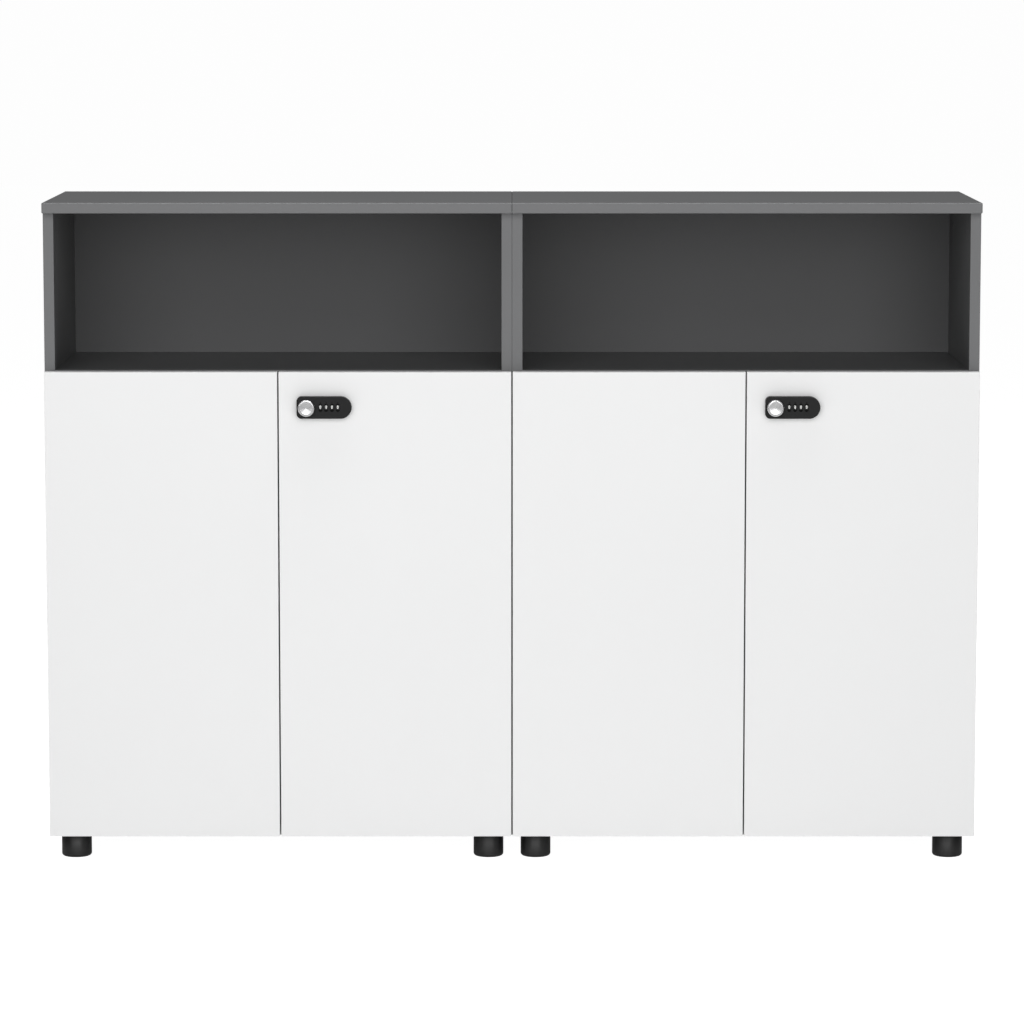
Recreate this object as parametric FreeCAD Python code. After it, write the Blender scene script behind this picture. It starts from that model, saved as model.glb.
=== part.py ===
"""Office storage cabinet: two identical units side by side, each with an open niche over two locking doors.

Millimetres, +Z up, front towards -Y, +X to the right. The origin is the middle of the bounding box's base.
One unit is built with its left face at x = 0 and then copied to both places.
"""
import FreeCAD, Part
import math
import os

V = FreeCAD.Vector

# Whole unit
unit_width = 800.0
unit_count = 2
unit_depth = 400.0
total_height = 1140.0
foot_height = 45.0
panel_thickness = 18.0
niche_height = 269.0
panel_edge_radius = 1.0
top_edge_radius = 1.8
seam_turn = 37.0

# Back board in its grooves
back_thickness = 5.0
back_inset = 8.0
groove_depth = 6.0
groove_clearance = 0.4

# Doors
door_thickness = 18.0
door_reveal = 1.25
door_top_drop = 1.5
door_bottom_lift = 1.0
door_edge_radius = 0.8
bumper_gap = 2.0

# Adjustable shelf and its pin holes
shelf_side_play = 1.0
shelf_setback = 30.0
pin_hole_pitch = 32.0
pin_hole_count = 7
pin_hole_inset = 70.0
pin_radius = 2.5
pin_hole_depth = 10.0
pin_reach = 9.0
pin_collar_radius = 4.0
pin_collar_length = 1.5

# Cam fittings
cam_radius = 7.5
cam_height = 13.6
cam_pocket_play = 0.1
cam_inset = 34.0
cam_end_distance = 60.0
cam_slot_length = 9.0
cam_slot_width = 1.6
cam_slot_depth = 2.0
bolt_rod_radius = 3.5
bolt_hole_radius = 4.0
bolt_stud_radius = 2.5
bolt_stud_length = 11.0
bolt_start = 2.0

# Screws that join the two units
joiner_radius = 3.0
joiner_head_radius = 8.0
joiner_head_height = 1.8
joiner_front_inset = 110.0

# Feet
foot_radius = 26.0
foot_bottom_radius = 5.0
foot_side_inset = 41.0
foot_end_inset = 48.0
foot_hole_radius = 2.8
foot_well_radius = 7.0
foot_well_depth = 30.0
foot_screw_radius = 2.5
foot_screw_bite = 13.0
foot_screw_head_radius = 5.5
foot_screw_head_height = 3.0

# Door hinges: u runs inwards from the side panel's inner face, v backwards from the door's back face
hinge_end_distance = 100.0
hinge_arm_u = 4.0
hinge_arm_v = -1.75
hinge_mid_u = 34.0
hinge_mid_v = 10.25
hinge_cup_u = 0.5
hinge_cup_v = -7.75
cup_centre_u = 5.0
cup_radius = 17.5
cup_depth = 12.5
cup_wall = 1.5
cup_floor = 1.0
cup_hole_play = 0.1
flange_width = 30.0
flange_height = 56.0
flange_thickness = 1.0
flange_screw_radius = 3.5
flange_screw_height = 0.6
flange_screw_spacing = 46.0
pin_hinge_radius = 1.5
pin_running_fit = 0.05
link_half_width = 2.6
link_layer_gap = 0.3
inner_link_half = 2.6
cheek_thickness = 1.9
arm_cheek_half_width = 2.6
arm_base_u = 1.4
arm_top_u = 6.6
arm_web_start_v = 7.0
arm_end_v = 66.0
plate_start_v = 28.0
plate_end_v = 60.0
plate_wing_half = 24.0
plate_wing_width = 14.0
plate_screw_radius = 3.5
plate_screw_height = 1.0

# Combination lock on each right door
lock_length = 94.0
lock_height = 38.0
lock_corner_radius = 8.4
lock_body_depth = 12.0
lock_edge_radius = 1.6
lock_edge_distance = 31.0
lock_drop = 60.0
knob_from_lock_end = 17.0
knob_radius = 14.0
knob_length = 14.0
knob_rim_radius = 2.2
knob_recess_radius = 15.6
knob_recess_depth = 1.2
knob_base_play = 0.4
knob_face_radius = 10.6
knob_face_depth = 0.9
knob_mark_width = 1.5
knob_mark_depth = 1.6
spindle_radius = 5.0
spindle_fit = 0.05
spindle_hole_play = 0.4
spindle_stub_radius = 3.5
dial_count = 4
dial_pitch = 9.9
dial_first_from_knob = 23.8
dial_radius = 12.5
dial_width = 5.4
dial_rise = 0.2
dial_side_play = 0.4
dial_tip_play = 0.6
dial_flutes = 10
dial_flute_radius = 0.7
dial_axle_radius = 2.0
window_width = 6.6
window_height = 13.8
window_lip = 0.9
block_length = 80.0
block_height = 28.0
block_corner_radius = 3.0
block_play = 0.5
clamp_thickness = 2.0
clamp_margin = 3.0
cam_arm_length = 36.0
cam_arm_half_width = 6.0
cam_arm_thickness = 2.5
cam_arm_v = 7.0
rivet_radius = 5.0
rivet_height = 1.5

# Strike under the fixed shelf
strike_half_width = 12.0
strike_thickness = 2.0
strike_v = 4.0
strike_depth = 28.0
strike_drop = 32.0

# Surface bolt on each left door
slide_edge_distance = 28.0
slide_half_width = 4.0
slide_half_depth = 2.0
slide_v = 10.0
slide_length = 84.0
slide_top_gap = 2.0
slide_play = 0.3
slide_hole_radius = 5.2
slide_hole_depth = 13.0
guide_half_width = 11.0
guide_base_thickness = 1.6
guide_wall = 2.2
guide_loop_height = 12.0
guide_top_gap = 12.0
guide_length = 46.0
finger_radius = 4.0
finger_length = 8.0

# Rubber bumpers
bumper_radius = 4.0
bumper_play = 0.2
bumper_from_middle = 36.0

# Places worked out from the sizes above
lock_reach = lock_body_depth + knob_length
front_y = (lock_reach - unit_depth) / 2.0
back_y = front_y + unit_depth
door_back_y = front_y + door_thickness
carcass_y = door_back_y + bumper_gap
back_board_y = back_y - back_inset - back_thickness
top_under_z = total_height - panel_thickness
shelf_top_z = top_under_z - niche_height
shelf_under_z = shelf_top_z - panel_thickness
floor_top_z = foot_height + panel_thickness
door_low_z = foot_height + door_bottom_lift
door_high_z = shelf_top_z - door_top_drop
door_width = (unit_width - 4.0 * door_reveal) / 2.0
middle_x = unit_width / 2.0
right_door_x = middle_x + door_reveal
inner_x = panel_thickness
inner_far_x = unit_width - panel_thickness
shelf_middle_z = (floor_top_z + shelf_under_z) / 2.0
loose_under_z = shelf_middle_z - panel_thickness / 2.0
loose_top_z = shelf_middle_z + panel_thickness / 2.0
joiner_heights = ((floor_top_z + loose_under_z) / 2.0, (loose_top_z + shelf_under_z) / 2.0)
hinge_heights = (door_low_z + hinge_end_distance, door_high_z - hinge_end_distance)
lock_x = right_door_x + lock_edge_distance
lock_z = door_high_z - lock_drop
knob_x = lock_x + knob_from_lock_end
lock_face_y = front_y - lock_body_depth
dial_axis_y = lock_face_y + dial_radius - dial_rise
slide_x = middle_x - door_reveal - slide_edge_distance
slide_y = door_back_y + slide_v
slide_top_z = shelf_under_z - slide_top_gap
cam_arm_y = door_back_y + cam_arm_v


def block(x0, x1, y0, y1, z0, z1):
    return Part.makeBox(x1 - x0, y1 - y0, z1 - z0, V(x0, y0, z0))


def rod(radius, length, base, direction):
    """A cylinder with its seam turned away from the places where others meet it."""
    solid = Part.makeCylinder(radius, length, base, direction)
    solid.rotate(base, direction, seam_turn)
    return solid


def round_all(solid, radius):
    return solid.makeFillet(radius, solid.Edges)


def edges_where(solid, test):
    return [edge for edge in solid.Edges if test(edge.BoundBox)]


def round_front(solid, y, radius):
    """Round the two upright edges of a board's front face."""
    chosen = edges_where(solid, lambda b: b.YMax - y < 1e-6 and b.ZLength > 10.0 * b.XLength)
    return solid.makeFillet(radius, chosen)


def round_front_long(solid, y, radius):
    """Round the two level edges of a board's front face."""
    chosen = edges_where(solid, lambda b: b.YMax - y < 1e-6 and b.XLength > 10.0 * b.ZLength)
    return solid.makeFillet(radius, chosen)


def cut_all(solid, tools):
    return solid.cut(tools) if tools else solid


def turned_bar(start, end, half_width, z0, z1):
    """A flat link with round ends between two points (u, v), from z0 to z1."""
    span = math.hypot(end[0] - start[0], end[1] - start[1])
    bar = Part.makeBox(span, 2.0 * half_width, z1 - z0, V(0, -half_width, z0))
    angle = math.degrees(math.atan2(end[1] - start[1], end[0] - start[0]))
    bar.rotate(V(0, 0, 0), V(0, 0, 1), angle)
    bar.translate(V(start[0], start[1], 0))
    up = V(0, 0, 1)
    ends = [rod(half_width, z1 - z0, V(p[0], p[1], z0), up) for p in (start, end)]
    return bar.fuse(ends).removeSplitter()


def cam_fitting(centre, facing, towards):
    """One cam, its bolt, the cuts in its own board and the cut in the other board.

    centre lies in the middle of the board's thickness, facing is the side the cam opens to and towards
    points along the bolt to the other board, cam_inset away.
    """
    mouth = centre + facing * (panel_thickness / 2.0)
    pocket = rod(cam_radius + cam_pocket_play, cam_height, mouth, facing * -1.0)
    edge_hole = rod(bolt_hole_radius, cam_inset, centre, towards)
    joint = centre + towards * cam_inset
    stud_hole = rod(bolt_stud_radius, bolt_stud_length, joint, towards)
    cam = rod(cam_radius, cam_height, mouth, facing * -1.0)
    cam = cam.cut(rod(bolt_hole_radius, cam_inset, centre, towards))
    across = facing.cross(towards)
    for along, side in ((towards, across), (across, towards)):
        size = along * cam_slot_length + side * cam_slot_width + facing * (2.0 * cam_slot_depth)
        low = mouth - size * 0.5
        high = mouth + size * 0.5
        cam = cam.cut(block(min(low.x, high.x), max(low.x, high.x), min(low.y, high.y), max(low.y, high.y),
                            min(low.z, high.z), max(low.z, high.z)))
    bolt = rod(bolt_rod_radius, cam_inset - bolt_start, centre + towards * bolt_start, towards)
    bolt = bolt.fuse(rod(bolt_stud_radius, bolt_stud_length, joint, towards)).removeSplitter()
    return {"cam": cam, "bolt": bolt, "own": [pocket, edge_hole], "other": [stud_hole]}


def carcass():
    """Panels and fittings of one unit, with its left face at x = 0."""
    cam_rows = (carcass_y + cam_end_distance, back_board_y - cam_end_distance)
    cuts = {"left": [], "right": [], "top": [], "shelf": [], "bottom": []}
    cams = []
    bolts = []

    def add(fitting, own, other):
        cams.append(fitting["cam"])
        bolts.append(fitting["bolt"])
        cuts[own].extend(fitting["own"])
        cuts[other].extend(fitting["other"])

    sides = (("left", inner_x, 1.0), ("right", inner_far_x, -1.0))
    for y in cam_rows:
        for side, face_x, inward in sides:
            for board, low_z in (("shelf", shelf_under_z), ("bottom", foot_height)):
                place = V(face_x + inward * cam_inset, y, low_z + panel_thickness / 2.0)
                add(cam_fitting(place, V(0, 0, -1), V(-inward, 0, 0)), board, side)
            place = V(face_x - inward * panel_thickness / 2.0, y, top_under_z - cam_inset)
            add(cam_fitting(place, V(inward, 0, 0), V(0, 0, 1)), side, "top")

    groove_low = back_board_y
    groove_high = back_board_y + back_thickness
    pins = []
    pin_rows = (carcass_y + pin_hole_inset, back_board_y - pin_hole_inset)
    first_hole_z = loose_under_z - pin_radius - pin_hole_pitch * (pin_hole_count // 2)
    for side, face_x, inward in sides:
        for y in pin_rows:
            for i in range(pin_hole_count):
                at = V(face_x, y, first_hole_z + i * pin_hole_pitch)
                cuts[side].append(rod(pin_radius, pin_hole_depth, at, V(-inward, 0, 0)))
            at = V(face_x - inward * pin_hole_depth, y, first_hole_z + pin_hole_pitch * (pin_hole_count // 2))
            pin = rod(pin_radius, pin_hole_depth + pin_reach, at, V(inward, 0, 0))
            collar = rod(pin_collar_radius, pin_collar_length, V(face_x, at.y, at.z), V(inward, 0, 0))
            collar = collar.cut(block(face_x - unit_width, face_x + unit_width, at.y - unit_depth,
                                      at.y + unit_depth, at.z + pin_radius, at.z + unit_depth))
            pins.append(pin.fuse(collar).removeSplitter())

    slide_hole = rod(slide_hole_radius, slide_hole_depth, V(slide_x, slide_y, shelf_under_z), V(0, 0, 1))
    cuts["shelf"].append(slide_hole)
    for x, y in foot_places():
        cuts["bottom"].append(rod(foot_screw_radius, foot_screw_bite, V(x, y, foot_height), V(0, 0, 1)))
    cuts["left"].append(block(inner_x - groove_depth, inner_x, groove_low, groove_high, foot_height, top_under_z))
    cuts["right"].append(block(inner_far_x, inner_far_x + groove_depth, groove_low, groove_high,
                               foot_height, top_under_z))
    cuts["top"].append(block(inner_x - groove_depth, inner_far_x + groove_depth, groove_low, groove_high,
                             top_under_z, top_under_z + groove_depth))
    for side in ("left", "right"):
        cuts[side].extend(joiner_holes(side))

    top = round_all(block(0, unit_width, front_y, back_y, top_under_z, total_height), top_edge_radius)
    left = round_front(block(0, inner_x, carcass_y, back_y, foot_height, top_under_z), carcass_y, panel_edge_radius)
    right = round_front(block(inner_far_x, unit_width, carcass_y, back_y, foot_height, top_under_z),
                        carcass_y, panel_edge_radius)
    shelf = round_front_long(block(inner_x, inner_far_x, carcass_y, back_board_y, shelf_under_z, shelf_top_z),
                             carcass_y, panel_edge_radius)
    bottom = round_front_long(block(inner_x, inner_far_x, carcass_y, back_board_y, foot_height, floor_top_z),
                              carcass_y, panel_edge_radius)
    board_x = inner_x - groove_depth + groove_clearance
    back = block(board_x, unit_width - board_x, groove_low, groove_high, foot_height,
                 top_under_z + groove_depth - groove_clearance)
    loose = block(inner_x + shelf_side_play, inner_far_x - shelf_side_play, carcass_y + shelf_setback,
                  back_board_y - shelf_side_play, loose_under_z, loose_top_z)
    loose = round_front_long(loose, carcass_y + shelf_setback, panel_edge_radius)
    panels = {
        "top_panel": cut_all(top, cuts["top"]),
        "left_side_panel": cut_all(left, cuts["left"]),
        "right_side_panel": cut_all(right, cuts["right"]),
        "fixed_shelf": cut_all(shelf, cuts["shelf"]),
        "bottom_panel": cut_all(bottom, cuts["bottom"]),
        "back_panel": back,
        "adjustable_shelf": loose,
    }
    return panels, {"cam_fittings": cams, "cam_bolts": bolts, "shelf_pins": pins}


def joiner_places():
    y_values = (carcass_y + joiner_front_inset, back_board_y - joiner_front_inset)
    return [(y, z) for y in y_values for z in joiner_heights]


def joiner_holes(side):
    start_x = 0.0 if side == "left" else inner_far_x
    return [rod(joiner_radius, panel_thickness, V(start_x, y, z), V(1, 0, 0)) for y, z in joiner_places()]


def joiners():
    """Screws through both inner sides, given in the left unit's own x."""
    made = []
    for y, z in joiner_places():
        body = rod(joiner_radius, 2.0 * panel_thickness, V(inner_far_x, y, z), V(1, 0, 0))
        heads = [rod(joiner_head_radius, joiner_head_height, V(inner_far_x - joiner_head_height, y, z), V(1, 0, 0)),
                 rod(joiner_head_radius, joiner_head_height, V(unit_width + panel_thickness, y, z), V(1, 0, 0))]
        made.append(body.fuse(heads).removeSplitter())
    return made


def foot_places():
    x_values = (foot_side_inset, unit_width - foot_side_inset)
    y_values = (carcass_y + foot_end_inset, back_y - foot_end_inset)
    return [(x, y) for x in x_values for y in y_values]


def feet():
    made = []
    screws = []
    up = V(0, 0, 1)
    for x, y in foot_places():
        foot = rod(foot_radius, foot_height, V(x, y, 0), up)
        foot = foot.makeFillet(foot_bottom_radius, edges_where(foot, lambda b: b.ZMax < 1e-6))
        foot = foot.cut([rod(foot_well_radius, foot_well_depth, V(x, y, 0), up),
                         rod(foot_hole_radius, foot_height, V(x, y, 0), up)])
        made.append(foot)
        head = rod(foot_screw_head_radius, foot_screw_head_height,
                   V(x, y, foot_well_depth - foot_screw_head_height), up)
        shank = rod(foot_screw_radius, foot_height - foot_well_depth + foot_screw_bite, V(x, y, foot_well_depth), up)
        screws.append(head.fuse(shank).removeSplitter())
    return made, screws


def hinge_parts():
    """One left-hand hinge about z = 0 with x as u and y as v."""
    up = V(0, 0, 1)
    arm_point = (hinge_arm_u, hinge_arm_v)
    mid_point = (hinge_mid_u, hinge_mid_v)
    cup_point = (hinge_cup_u, hinge_cup_v)
    link_low = inner_link_half + link_layer_gap
    link_high = link_low + cheek_thickness
    arm_low = link_high + link_layer_gap
    arm_high = arm_low + cheek_thickness

    cup = rod(cup_radius, cup_depth, V(cup_centre_u, 0, 0), V(0, -1, 0))
    flange = block(cup_centre_u - flange_width / 2.0, cup_centre_u + flange_width / 2.0, 0, flange_thickness,
                   -flange_height / 2.0, flange_height / 2.0)
    screws = [rod(flange_screw_radius, flange_screw_height,
                  V(cup_centre_u, flange_thickness, s * flange_screw_spacing / 2.0), V(0, 1, 0)) for s in (-1, 1)]
    cup = cup.fuse([flange] + screws)
    hollow = rod(cup_radius - cup_wall, cup_depth - cup_floor + flange_thickness,
                 V(cup_centre_u, flange_thickness, 0), V(0, -1, 0))
    cup = cup.cut(hollow)
    reach = math.sqrt((cup_radius - cup_wall / 2.0) ** 2 - (cup_centre_u - hinge_cup_u) ** 2)
    cup = cup.fuse(rod(pin_hinge_radius, 2.0 * reach, V(hinge_cup_u, hinge_cup_v, -reach), up)).removeSplitter()

    eye = pin_hinge_radius + pin_running_fit
    inner = turned_bar(mid_point, cup_point, link_half_width, -inner_link_half, inner_link_half)
    inner = inner.cut([rod(eye, 2.0 * inner_link_half, V(p[0], p[1], -inner_link_half), up)
                       for p in (mid_point, cup_point)])

    outer = turned_bar(arm_point, mid_point, link_half_width, link_low, link_high)
    outer = outer.fuse(turned_bar(arm_point, mid_point, link_half_width, -link_high, -link_low))
    outer = outer.fuse(rod(pin_hinge_radius, 2.0 * link_low, V(mid_point[0], mid_point[1], -link_low), up))
    for low in (link_high, -arm_high):
        outer = outer.fuse(rod(pin_hinge_radius, arm_high - link_high, V(arm_point[0], arm_point[1], low), up))
    outer = outer.removeSplitter()

    arm = block(arm_base_u, arm_top_u, arm_web_start_v, arm_end_v, -arm_high, arm_high)
    for low in (arm_low, -arm_high):
        cheek = turned_bar(arm_point, (hinge_arm_u, arm_web_start_v + arm_cheek_half_width),
                           arm_cheek_half_width, low, low + cheek_thickness)
        arm = arm.fuse(cheek.cut(rod(eye, cheek_thickness, V(arm_point[0], arm_point[1], low), up)))
    arm = arm.removeSplitter()

    plate = block(0, arm_base_u, plate_start_v, plate_end_v, -arm_high, arm_high)
    wing_v = (plate_start_v + plate_end_v) / 2.0
    plate = plate.fuse(block(0, arm_base_u, wing_v - plate_wing_width / 2.0, wing_v + plate_wing_width / 2.0,
                             -plate_wing_half, plate_wing_half))
    plate_screw_z = (plate_wing_half + arm_high) / 2.0
    plate = plate.fuse([rod(plate_screw_radius, plate_screw_height, V(arm_base_u, wing_v, s * plate_screw_z),
                            V(1, 0, 0)) for s in (-1, 1)]).removeSplitter()
    cup_hole = rod(cup_radius + cup_hole_play, cup_depth, V(cup_centre_u, 0, 0), V(0, -1, 0))
    return {"cups": cup, "inner_links": inner, "outer_links": outer, "arms": arm, "plates": plate, "hole": cup_hole}


def hang(shape, z, right_hand):
    """A hinge piece moved to its height on the unit's left side, or mirrored to the right side."""
    placed = shape.copy()
    placed.translate(V(inner_x, door_back_y, z))
    return placed.mirror(V(middle_x, 0, 0), V(1, 0, 0)) if right_hand else placed


def lock_outline(grow, y, depth):
    """Plate with two small corners on the left and a half-round right end, standing depth out from y."""
    left = lock_x - grow
    low = lock_z - lock_height / 2.0 - grow
    high = lock_z + lock_height / 2.0 + grow
    round_right = lock_height / 2.0 + grow
    right = lock_x + lock_length + grow
    corner = lock_corner_radius + grow
    body = block(left, right - round_right, y, y + depth, low, high)
    upright = edges_where(body, lambda b: b.YLength > depth / 2.0 and b.XMax - left < 1e-6)
    body = body.makeFillet(corner, upright)
    return body.fuse(rod(round_right, depth, V(right - round_right, y, lock_z), V(0, 1, 0))).removeSplitter()


def lock_block(play, y0, y1):
    """The body behind the plate that fills the door's opening, or that opening itself."""
    x0 = knob_x - block_height / 2.0 - play
    body = block(x0, x0 + block_length + 2.0 * play, y0, y1, lock_z - block_height / 2.0 - play,
                 lock_z + block_height / 2.0 + play)
    return body.makeFillet(block_corner_radius, edges_where(body, lambda b: b.YLength > (y1 - y0) / 2.0))


def dial_places():
    return [knob_x + dial_first_from_knob + i * dial_pitch for i in range(dial_count)]


def lock():
    back = V(0, 1, 0)
    plate = lock_outline(0.0, lock_face_y, lock_body_depth)
    plate = plate.makeFillet(lock_edge_radius, edges_where(plate, lambda b: b.YMax - lock_face_y < 1e-6))
    housing = plate.fuse(lock_block(0.0, front_y, door_back_y)).removeSplitter()
    tools = [rod(knob_recess_radius, knob_recess_depth, V(knob_x, lock_face_y, lock_z), back),
             rod(spindle_radius + spindle_fit, lock_body_depth + door_thickness, V(knob_x, lock_face_y, lock_z), back)]
    room_half = dial_width / 2.0 + dial_side_play
    room_radius = dial_radius + dial_tip_play
    for x in dial_places():
        wheel_room = rod(room_radius, 2.0 * room_half, V(x - room_half, dial_axis_y, lock_z), V(1, 0, 0))
        back_room = block(x - room_half, x + room_half, dial_axis_y, door_back_y, lock_z - room_radius,
                          lock_z + room_radius)
        room = wheel_room.fuse(back_room).cut(block(x - unit_width, x + unit_width, lock_face_y - unit_depth,
                                                    lock_face_y + window_lip, 0, total_height))
        window = block(x - window_width / 2.0, x + window_width / 2.0, lock_face_y, dial_axis_y,
                       lock_z - (window_height - window_width) / 2.0, lock_z + (window_height - window_width) / 2.0)
        ends = [rod(window_width / 2.0, dial_axis_y - lock_face_y,
                    V(x, lock_face_y, lock_z + s * (window_height - window_width) / 2.0), back) for s in (-1, 1)]
        tools.append(room)
        tools.append(window.fuse(ends))
    housing = housing.cut(tools)
    first = dial_places()[0] - dial_pitch / 2.0
    last = dial_places()[-1] + dial_pitch / 2.0
    housing = housing.fuse(rod(dial_axle_radius, last - first, V(first, dial_axis_y, lock_z), V(1, 0, 0)))
    housing = housing.removeSplitter()

    dials = []
    for x in dial_places():
        dial = rod(dial_radius, dial_width, V(x - dial_width / 2.0, dial_axis_y, lock_z), V(1, 0, 0))
        dial = dial.cut(rod(dial_axle_radius + pin_running_fit, dial_width,
                            V(x - dial_width / 2.0, dial_axis_y, lock_z), V(1, 0, 0)))
        grooves = []
        for i in range(dial_flutes):
            angle = 2.0 * math.pi * (i + 0.5) / dial_flutes
            grooves.append(rod(dial_flute_radius, dial_width,
                               V(x - dial_width / 2.0, dial_axis_y - dial_radius * math.cos(angle),
                                 lock_z + dial_radius * math.sin(angle)), V(1, 0, 0)))
        dials.append(dial.cut(grooves))

    knob_front_y = front_y - lock_reach
    knob_back_y = lock_face_y + knob_recess_depth - knob_base_play
    knob = rod(knob_radius, knob_back_y - knob_front_y, V(knob_x, knob_front_y, lock_z), back)
    knob = knob.makeFillet(knob_rim_radius, edges_where(knob, lambda b: b.YMax - knob_front_y < 1e-6))
    dish = Part.makeCone(knob_face_radius, 0.0, knob_face_depth, V(knob_x, knob_front_y, lock_z), back)
    mark = block(knob_x - knob_mark_width / 2.0, knob_x + knob_mark_width / 2.0, knob_front_y,
                 knob_front_y + knob_mark_depth, lock_z, lock_z + 2.0 * knob_radius)
    knob = knob.cut([dish, mark])
    spindle = rod(spindle_radius, cam_arm_y - knob_back_y, V(knob_x, knob_back_y, lock_z), back)
    stub = rod(spindle_stub_radius, cam_arm_thickness, V(knob_x, cam_arm_y, lock_z), back)
    rivet = rod(rivet_radius, rivet_height, V(knob_x, cam_arm_y + cam_arm_thickness, lock_z), back)
    knob = knob.fuse([spindle, stub, rivet]).removeSplitter()

    cam = block(knob_x, knob_x + cam_arm_length - cam_arm_half_width, cam_arm_y, cam_arm_y + cam_arm_thickness,
                lock_z - cam_arm_half_width, lock_z + cam_arm_half_width)
    for x in (knob_x, knob_x + cam_arm_length - cam_arm_half_width):
        cam = cam.fuse(rod(cam_arm_half_width, cam_arm_thickness, V(x, cam_arm_y, lock_z), back))
    cam = cam.removeSplitter().cut(rod(spindle_stub_radius, cam_arm_thickness, V(knob_x, cam_arm_y, lock_z), back))

    clamp = lock_block(clamp_margin, door_back_y, door_back_y + clamp_thickness)
    clamp = clamp.cut(rod(spindle_radius + spindle_hole_play, clamp_thickness, V(knob_x, door_back_y, lock_z), back))

    angle_y = door_back_y + strike_v
    strike = block(knob_x - strike_half_width, knob_x + strike_half_width, angle_y, angle_y + strike_thickness,
                   shelf_under_z - strike_drop, shelf_under_z)
    strike = strike.fuse(block(knob_x - strike_half_width, knob_x + strike_half_width, angle_y,
                               angle_y + strike_depth, shelf_under_z - strike_thickness, shelf_under_z))
    return {"housing": housing, "dials": dials, "knob": knob, "cam": cam, "clamp": clamp,
            "strike": strike.removeSplitter()}


def surface_bolt():
    low_z = slide_top_z - slide_length
    bolt = block(slide_x - slide_half_width, slide_x + slide_half_width, slide_y - slide_half_depth,
                 slide_y + slide_half_depth, low_z, slide_top_z)
    finger_z = low_z + finger_radius * 2.0
    bolt = bolt.fuse(rod(finger_radius - slide_play, finger_length, V(slide_x, slide_y, finger_z), V(0, 1, 0)))
    guide_high = slide_top_z - guide_top_gap
    guide = block(slide_x - guide_half_width, slide_x + guide_half_width, door_back_y,
                  door_back_y + guide_base_thickness, guide_high - guide_length, guide_high)
    loop_half = slide_half_width + slide_play + guide_wall
    loop_back = slide_y + slide_half_depth + slide_play + guide_wall
    for low in (guide_high - guide_loop_height, guide_high - guide_length):
        guide = guide.fuse(block(slide_x - loop_half, slide_x + loop_half, door_back_y, loop_back, low,
                                 low + guide_loop_height))
    channel = block(slide_x - slide_half_width - slide_play, slide_x + slide_half_width + slide_play,
                    slide_y - slide_half_depth - slide_play, slide_y + slide_half_depth + slide_play, 0, total_height)
    return bolt.removeSplitter(), guide.removeSplitter().cut(channel)


def bumpers():
    made = []
    for z in (foot_height + panel_thickness / 2.0, shelf_under_z + panel_thickness / 2.0 - door_top_drop):
        for s in (-1.0, 1.0):
            dot = rod(bumper_radius, bumper_gap - bumper_play, V(middle_x + s * bumper_from_middle, carcass_y, z),
                      V(0, -1, 0))
            made.append(dot)
    return made


def door_slab(x0, hole_tools):
    slab = block(x0, x0 + door_width, front_y, door_back_y, door_low_z, door_high_z)
    return round_all(slab, door_edge_radius).cut(hole_tools)


def one_unit():
    panels, groups = carcass()
    hinge = hinge_parts()
    locked = lock()
    bolt, guide = surface_bolt()
    pieces = dict(panels)
    for side, right_hand in (("left", False), ("right", True)):
        for kind in ("cups", "outer_links", "inner_links"):
            solids = [hang(hinge[kind], z, right_hand) for z in hinge_heights]
            label = "hinge_cups" if kind == "cups" else kind
            pieces[side + "_door_" + label] = Part.makeCompound(solids)
        for kind in ("arms", "plates"):
            groups.setdefault("hinge_" + kind, []).extend(hang(hinge[kind], z, right_hand) for z in hinge_heights)
    left_holes = [hang(hinge["hole"], z, False) for z in hinge_heights]
    right_holes = [hang(hinge["hole"], z, True) for z in hinge_heights]
    right_holes.append(lock_block(block_play, front_y, door_back_y))
    pieces["left_door"] = door_slab(door_reveal, left_holes)
    pieces["right_door"] = door_slab(right_door_x, right_holes)
    pieces["lock_housing"] = locked["housing"]
    pieces["lock_knob"] = locked["knob"]
    pieces["lock_cam"] = locked["cam"]
    pieces["lock_clamp_plate"] = locked["clamp"]
    for i, dial in enumerate(locked["dials"]):
        pieces["lock_dial_" + str(i + 1)] = dial
    pieces["surface_bolt"] = bolt
    pieces["surface_bolt_guide"] = guide
    foot_solids, foot_screws = feet()
    groups["feet"] = foot_solids
    groups["foot_screws"] = foot_screws
    groups["lock_strikes"] = [locked["strike"]]
    groups["door_bumpers"] = bumpers()
    return pieces, groups


def moved(shape, x):
    copy = shape.copy()
    copy.translate(V(x, 0, 0))
    return copy


def build():
    os.makedirs("parts", exist_ok=True)
    pieces, groups = one_unit()
    start_x = -unit_width * unit_count / 2.0
    for i, unit in enumerate(("left_unit", "right_unit")):
        for name, shape in pieces.items():
            moved(shape, start_x + i * unit_width).exportStep("parts/" + unit + "_" + name + ".step")
    for name, solids in groups.items():
        copies = [moved(s, start_x + i * unit_width) for i in range(unit_count) for s in solids]
        Part.makeCompound(copies).exportStep("parts/" + name + ".step")
    Part.makeCompound([moved(s, start_x) for s in joiners()]).exportStep("parts/joining_screws.step")


build()
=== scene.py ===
"""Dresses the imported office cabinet: laminate boards, white doors, dial locks, feet, fittings, stage and camera."""
import math

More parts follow.
